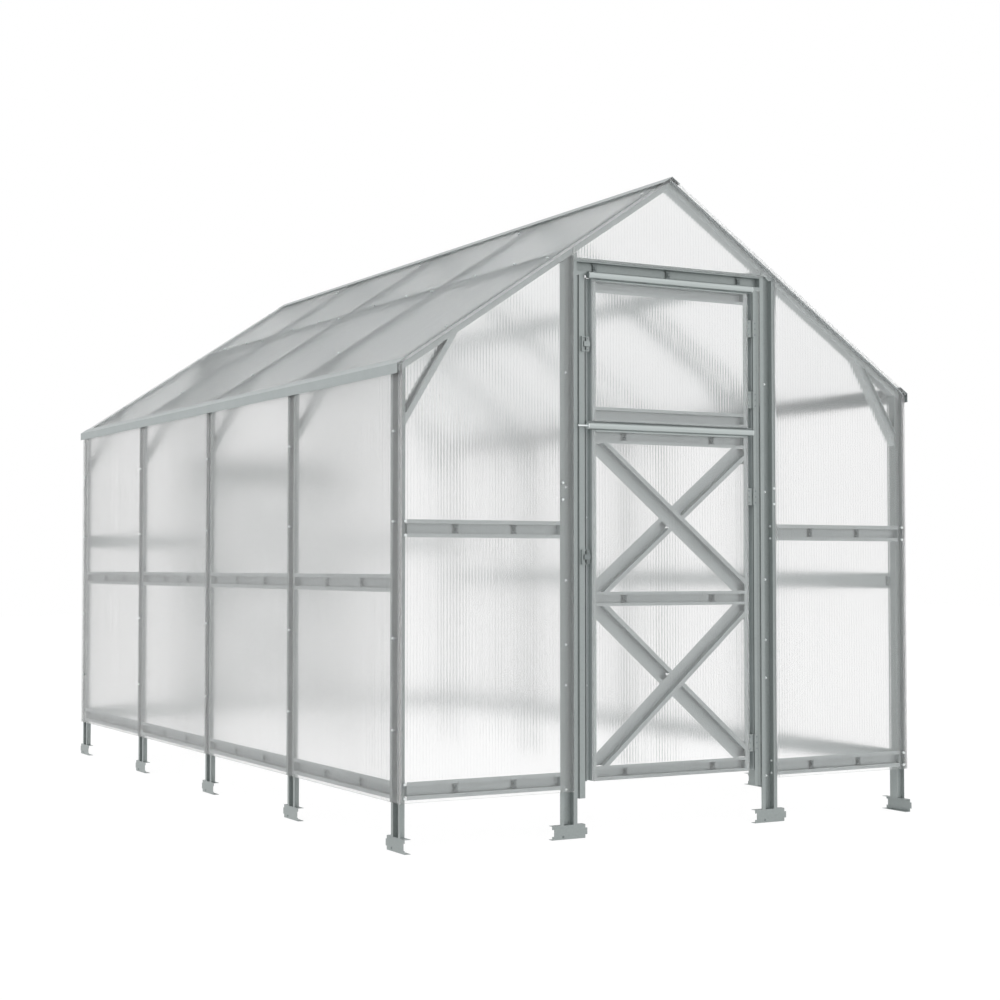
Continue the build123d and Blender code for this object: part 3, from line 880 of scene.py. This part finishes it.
@dataclass
class Fixings:
    """Every screw, bolt, saddle and plug of the house and of its front door, in millimetres."""

    frames: Floats = (-2000.0, -1000.0, 0.0, 1000.0, 2000.0)
    side_face: float = 1208.0
    gable_face: float = 2039.0
    ridge: float = 2612.3
    sheet: float = 10.0
    screw_reach: float = 2.0
    # The floor of a post's channel, and half the width of a rail's channel and of a leaf's
    channel_floor: float = 1.3 - 26.0
    rail_half: float = 17.0
    leaf_half: float = 14.5
    bolt_lift: float = 0.05
    bolt_depth: float = 3.0
    post_screws: Floats = (449.0, 788.0, 1220.0, 1556.0)
    purlin_row: float = 508.0
    rafter_rows: Floats = (107.0, 548.0, 992.0)
    corner_row: float = 1195.0
    corner_rise: float = 26.0
    splice_screw: float = -516.0
    splice_bolt: float = 514.0
    side_rails: Floats = (225.5, 991.0)
    gable_rails: Floats = (225.5, 1194.5)
    gable_saddles: Floats = (718.0, 970.0)
    head_rail: float = 2229.5
    head_saddles: Floats = (-350.0, 0.0, 350.0)
    leaf_saddle: float = 213.0
    door_rails: Floats = (246.0, 925.3, 1566.0)
    door_post: float = 484.0
    post_bolts: Floats = (189.0, 592.0, 749.0, 999.0, 1362.0, 1811.0)
    splices: Floats = (1312.0, 1377.0)
    flank: float = 504.2
    flank_depth: float = 13.0
    flank_rise: float = 25.0
    stile: float = 389.5
    door_bolts: Floats = (588.0, 1245.0)
    window_bolt: float = 1909.0
    door_hinges: Floats = (330.0, 1340.0)
    window_hinges: Floats = (1740.0, 2035.0)
    leaf_plate: float = 386.0
    jamb_plate: float = 418.0
    plate: float = 2.0
    plate_rise: float = 24.0
    pin_axis: float = 406.0
    pin_out: float = 6.0
    pin_half: float = 35.1
    door_latch: float = 1090.0
    window_latch: float = 1925.0
    latch: float = -396.0
    latch_plate: float = 3.0
    latch_rise: float = 22.0
    door_bar: float = 1603.0
    window_bar: float = 2196.0
    bar_out: float = 14.0
    bar_right: float = 391.0
    bar_left: float = -403.0
    bar_pin: float = 46.0
    pin_radius: float = 4.0
    plug: Profile = (
        (12.3, -8.0), (12.3, 0.1), (13.8, 0.1), (13.8, 1.4), (12.4, 2.6), (9.0, 3.2))
    sunk_cap: Profile = ((12.3, -12.0), (12.3, -2.6), (11.0, -1.6), (4.0, -2.4))
    anchor_height: float = 10.5
    anchor_shift: float = 34.0
    gable_anchors: Floats = (-509.0, 459.0)
    screw: HexScrew = field(default_factory=HexScrew)
    socket: SocketScrew = field(default_factory=SocketScrew)
    anchor: SocketScrew = field(default_factory=lambda: SocketScrew(radius=5.0, height=1.6))
    saddle: ChannelSaddle = field(default_factory=ChannelSaddle)

    def side_spot(self, side: int, y: float, z: float, out: float) -> Spot:
        """Give a spot on a side wall, so far out of the frame's face."""
        return Spot(Vector((side * (self.side_face + out), y, z)), Vector((side, 0, 0)), Y_AXIS)

    def gable_spot(self, x: float, z: float, out: float) -> Spot:
        """Give a spot on the front gable, so far out of the frame's face."""
        return Spot(Vector((x, -self.gable_face - out, z)), Vector((0, -1, 0)), X_AXIS)

    def roof_spot(self, side: int, x: float, y: float, out: float) -> Spot:
        """Give a spot on a slope of the roof, so far out of the frame's face."""
        normal = Vector((side * SLOPE, 0, 1)).normalized()
        foot = Vector((side * x, y, self.ridge - SLOPE * x)) + normal * out
        return Spot(foot, normal, Y_AXIS)

    def thirds(self) -> list[float]:
        """Give the places at a third and two thirds of each bay."""
        return [low + (high - low) * part / 3 for low, high in zip(self.frames, self.frames[1:])
                for part in (1, 2)]

    def gable_pair(self, spots: Iterable[Spot]) -> list[Spot]:
        """Give spots of the front gable and the same ones of the back gable."""
        both = []
        for spot in spots:
            both += [spot, spot.turned()]
        return both

    def sheet_screws(self) -> list[Spot]:
        """Give the screws that go through the sheets of the house."""
        spots = [self.side_spot(side, y, z, self.sheet) for side in (-1, 1) for y in self.frames
                 for z in self.post_screws]
        spots += [self.roof_spot(side, self.purlin_row, y, self.sheet) for side in (-1, 1)
                  for y in self.thirds()]
        spots += [self.roof_spot(side, x, y, self.sheet) for side in (-1, 1) for x in self.rafter_rows
                  for y in self.frames]
        front = [self.gable_spot(side * self.corner_row, rail + way * self.corner_rise, self.sheet)
                 for side in (-1, 1) for rail in self.gable_rails for way in (-1, 1)]
        front += [self.gable_spot(self.splice_screw, z, self.sheet) for z in self.splices]
        return spots + self.gable_pair(front)

    def frame_bolts(self) -> list[Spot]:
        """Give the bolts that show on the bare frame of the house."""
        front = [self.gable_spot(side * self.door_post, z, self.channel_floor) for side in (-1, 1)
                 for z in self.post_bolts]
        front += [self.gable_spot(self.splice_bolt, z, 0.0) for z in self.splices]
        for side in (-1, 1):
            front += [Spot(Vector((side * self.flank, -self.gable_face + self.flank_depth,
                                   rail + way * self.flank_rise)),
                           Vector((-side, 0, 0)), Z_AXIS)
                      for rail in self.gable_rails for way in (-1, 1)]
        front += self.stile_bolts((self.window_bolt,))
        return self.gable_pair(front) + [spot.turned() for spot in self.stile_bolts(self.door_bolts)]

    def stile_bolts(self, heights: Sequence[float]) -> list[Spot]:
        """Give the bolts in both stiles of a leaf of the front gable."""
        return [self.gable_spot(side * self.stile, z, self.channel_floor) for side in (-1, 1)
                for z in heights]

    def saddles(self) -> dict[float, list[Spot]]:
        """Give the saddles of the house by half the width of their channel."""
        rails = [self.side_spot(side, y, z, 0) for side in (-1, 1) for y in self.thirds()
                 for z in self.side_rails]
        rails += [self.roof_spot(side, self.purlin_row, y, 0) for side in (-1, 1) for y in self.thirds()]
        front = [self.gable_spot(side * x, z, 0) for side in (-1, 1) for x in self.gable_saddles
                 for z in self.gable_rails]
        front += [self.gable_spot(x, self.head_rail, 0) for x in self.head_saddles]
        leaf = [spot.turned() for spot in self.door_saddles()]
        return {self.rail_half: rails + self.gable_pair(front), self.leaf_half: leaf}

    def door_saddles(self) -> list[Spot]:
        """Give the saddles of the front door."""
        return [self.gable_spot(side * self.leaf_saddle, z, 0) for side in (-1, 1)
                for z in self.door_rails]

    def fitting_screws(self, hinges: Sequence[float], on_leaf: bool) -> list[Spot]:
        """Give the screws of some hinges of the front gable, on the leaf's plates or on the jamb's."""
        x = self.leaf_plate if on_leaf else self.jamb_plate
        return [self.gable_spot(x, z + step * self.plate_rise, self.plate) for z in hinges
                for step in (-1, 0, 1)]

    def pin_heads(self) -> list[Spot]:
        """Give the heads at both ends of every hinge pin of the front gable."""
        axis = Vector((self.pin_axis, -self.gable_face - self.pin_out, 0))
        return [Spot(axis + Vector((0, 0, z + end * self.pin_half)), Vector((0, 0, end)),
                     X_AXIS)
                for z in (*self.door_hinges, *self.window_hinges) for end in (-1, 1)]

    def latch_screws(self, z: float) -> list[Spot]:
        """Give the two screws of a latch of the front gable."""
        return [self.gable_spot(self.latch, z + way * self.latch_rise, self.latch_plate)
                for way in (-1, 1)]

    def bar_end(self, x: float, z: float) -> Spot:
        """Give the end of a drip bar of the front gable, pointing out of the tube."""
        return Spot(Vector((x, -self.gable_face - self.bar_out, z)),
                    Vector((math.copysign(1, x), 0, 0)), Z_AXIS)

    def foot_spots(self) -> list[Spot]:
        """Give the anchor screws of the feet, near the ground."""
        spots = [self.side_spot(side, y - side * self.anchor_shift, self.anchor_height, 0)
                 for side in (-1, 1) for y in self.frames]
        return spots + self.gable_pair(self.gable_spot(x, self.anchor_height, 0)
                                       for x in self.gable_anchors)

    def add_plug(self, mesh: Mesh, spot: Spot, pin: float = 0.0) -> None:
        """Add the plug in the end of a drip bar, with a pin of the given length, if any."""
        add_turned(mesh, spot, self.plug, 28)
        if pin:
            add_turned(mesh, spot, [(self.pin_radius, 3.0), (self.pin_radius, pin - 1),
                                    (self.pin_radius - 1, pin)], 16)

    def build(self, zinc: Material, shade_darkened_zinc: Material,
              rubber: Material) -> None:
        """Make every fixing.

        Args:
            zinc: The finish of the sheets' screws, the bolts and the plugs.
            shade_darkened_zinc: The finish of the saddles and of the fittings' and anchor screws, its dark
                tone partly painted shade.
            rubber: The finish of the washers.
        """
        screws, washers, bolts, saddles = (bmesh.new() for _ in range(4))
        for spot in self.sheet_screws():
            self.screw.add(screws, spot, self.screw.washer_height, self.sheet + self.screw_reach)
            self.screw.add_washer(washers, spot)
        for spot in self.frame_bolts():
            self.screw.add(bolts, spot, self.bolt_lift, self.bolt_depth)
        # The saddles take the darker zinc, whose tone paints the shade in the rail channels.
        for half_width, spots in self.saddles().items():
            for spot in spots:
                self.saddle.add(saddles, spot, half_width)
        fittings, plugs, anchors = (bmesh.new() for _ in range(3))
        all_hinges = (*self.door_hinges, *self.window_hinges)
        front = self.fitting_screws(all_hinges, False) + self.fitting_screws(self.window_hinges, True)
        front += self.pin_heads() + self.latch_screws(self.window_latch)
        back = self.fitting_screws(self.door_hinges, True) + self.latch_screws(self.door_latch)
        for spot in self.gable_pair(front) + [spot.turned() for spot in back]:
            self.socket.add(fittings, spot)
        for spot in self.gable_pair([self.bar_end(self.bar_right, self.window_bar)]):
            self.add_plug(plugs, spot)
        for spot in self.gable_pair([self.bar_end(self.bar_left, self.window_bar)]):
            add_turned(fittings, spot, self.sunk_cap, 28)
        self.add_plug(plugs, self.bar_end(self.bar_right, self.door_bar).turned())
        self.add_plug(plugs, self.bar_end(self.bar_left, self.door_bar).turned(), self.bar_pin)
        # The anchor screws' dark heads paint the shade of the holes in the feet.
        for spot in self.foot_spots():
            self.anchor.add(anchors, spot)
        add_fittings({"sheet_screws": (screws, zinc), "screw_washers": (washers, rubber),
                      "frame_bolts": (bolts, zinc), "channel_saddles": (saddles, shade_darkened_zinc),
                      "hinge_and_latch_screws": (fittings, shade_darkened_zinc),
                      "drip_bar_plugs": (plugs, zinc), "foot_anchor_screws": (anchors, shade_darkened_zinc)},
                     Body.HOUSE)
        self.build_door(zinc, shade_darkened_zinc)

    def build_door(self, zinc: Material, shade_darkened_zinc: Material) -> None:
        """Make the fixings of the front door.

        Args:
            zinc: The finish of bolts and plugs.
            shade_darkened_zinc: The finish of the saddles and fitting screws, its dark tone partly painted
                shade.
        """
        bolts, saddles, fittings, plugs = (bmesh.new() for _ in range(4))
        for spot in self.stile_bolts(self.door_bolts):
            self.screw.add(bolts, spot, self.bolt_lift, self.bolt_depth)
        for spot in self.door_saddles():
            self.saddle.add(saddles, spot, self.leaf_half)
        for spot in self.fitting_screws(self.door_hinges, True) + self.latch_screws(self.door_latch):
            self.socket.add(fittings, spot)
        self.add_plug(plugs, self.bar_end(self.bar_right, self.door_bar))
        self.add_plug(plugs, self.bar_end(self.bar_left, self.door_bar), self.bar_pin)
        add_fittings({"door_frame_bolts": (bolts, zinc), "door_channel_saddles": (saddles, shade_darkened_zinc),
                      "door_hinge_and_latch_screws": (fittings, shade_darkened_zinc),
                      "door_drip_bar_plugs": (plugs, zinc)}, Body.DOOR)


def add_fittings(made: dict[str, tuple[Mesh, Material]], body: Body) -> None:
    """Turn the meshes of small fixings and trim into pieces of one body.

    Args:
        made: The mesh and finish of each piece by name.
        body: The body they ride on.
    """
    for name, (mesh, material) in made.items():
        piece = piece_from(mesh, name, material)
        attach(piece, body.value)
        LOG.info("%s: %d faces", name, len(piece.data.polygons))


def piece_from(mesh: Mesh, name: str, *materials: Material) -> bpy.types.Object:
    """Turn a mesh under construction into a linked object.

    Args:
        mesh: The mesh, which is freed.
        name: The piece's name.
        *materials: Its finishes, in the order of the faces' numbers.

    Returns:
        The new object.
    """
    bmesh.ops.recalc_face_normals(mesh, faces=mesh.faces)
    data = bpy.data.meshes.new(name)
    mesh.to_mesh(data)
    mesh.free()
    for material in materials:
        data.materials.append(material)
    obj = bpy.data.objects.new(name, data)
    bpy.context.scene.collection.objects.link(obj)
    return obj


def dress_nodes(nodes: Nodes) -> tuple[Material, Material]:
    """Give each CAD node that shows its finish.

    Args:
        nodes: The CAD nodes by name.

    Returns:
        The finishes of the posts, and of the rails, whose lighter copy of the steel is painted light.
    """
    steel = ZincCoatedSteel().material()
    # The rails, rafters, purlins, braces and leaf frames get a lighter copy of the posts' steel: painted
    # light that makes up for what the sheets in front of them hold back.
    lit_rail_steel = ZincCoatedSteel(name="zinc_coated_rail_painted_light", tone="#BEC4C4", dull_tone="#AFB6B5").material()
    caps = ZincCoatedSteel(name="zinc_coated_strip", tone="#A9B0B0", dull_tone="#A0A7A7").material()
    tube = DrawnAluminium().material()
    fitting = ZincCoatedSteel(name="zinc_coated_latch", tone="#848B8B", dull_tone="#767D7D").material()
    for name, node in nodes.items():
        rail = any(part in name for part in ("rails", "rafters", "purlins", "braces", "door_frame",
                                             "window_frame"))
        finish = tube if "bar" in name else caps if "cap" in name else lit_rail_steel if rail else steel
        finish = fitting if "latch" in name else finish
        node.data.materials.clear()
        node.data.materials.append(finish)
    return steel, lit_rail_steel


def main() -> None:
    """Build the studio and the pieces, in order."""
    logging.basicConfig(level=logging.INFO, format="%(name)s: %(message)s")
    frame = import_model()
    bpy.context.scene.view_settings.view_transform = "Standard"
    Studio().build()
    steel, lit_rail_steel = dress_nodes(frame["nodes"])
    skins = {"x": TwinWallSkin().material("X"), "y": TwinWallSkin().material("Y"),
             "roof": TwinWallSkin(name="twin_wall_roof_skin", edge_tone="#C2C6C6", edge_power=3.0,
                                  ior=1.06, roughness=0.6).material("Y")}
    edges = {"x": TwinWallEdge().material("X"), "y": TwinWallEdge().material("Y"),
             "roof": TwinWallEdge(name="twin_wall_roof_edge").material("Y")}
    TwinWallSheets().build(frame["nodes"], skins, edges, TwinWallRib().material())
    zinc = ZincCoatedSteel(name="zinc_plated_screw", tone="#EEF2F2", dull_tone="#E2E7E7", roughness=0.3,
                           metallic=0.9, spangle_mm=3.0)
    # A darker zinc for the saddles, the hinge and latch screws and the anchor screws: partly a passivated
    # finish, partly painted shade of the rail channels and of the anchor holes.
    shade_darkened_zinc = ZincCoatedSteel(name="passivated_zinc_and_painted_shade", tone="#8C9393", dull_tone="#7D8484", roughness=0.5,
                                spangle_mm=4.0)
    rubber = SealRubber().material()
    Fixings().build(zinc.material(), shade_darkened_zinc.material(), rubber)
    LeafDetails().build(lit_rail_steel, rubber)
    DoorwayJambs().build(frame["nodes"], steel)
    bpy.context.view_layer.update()


if __name__ == "__main__":
    main()
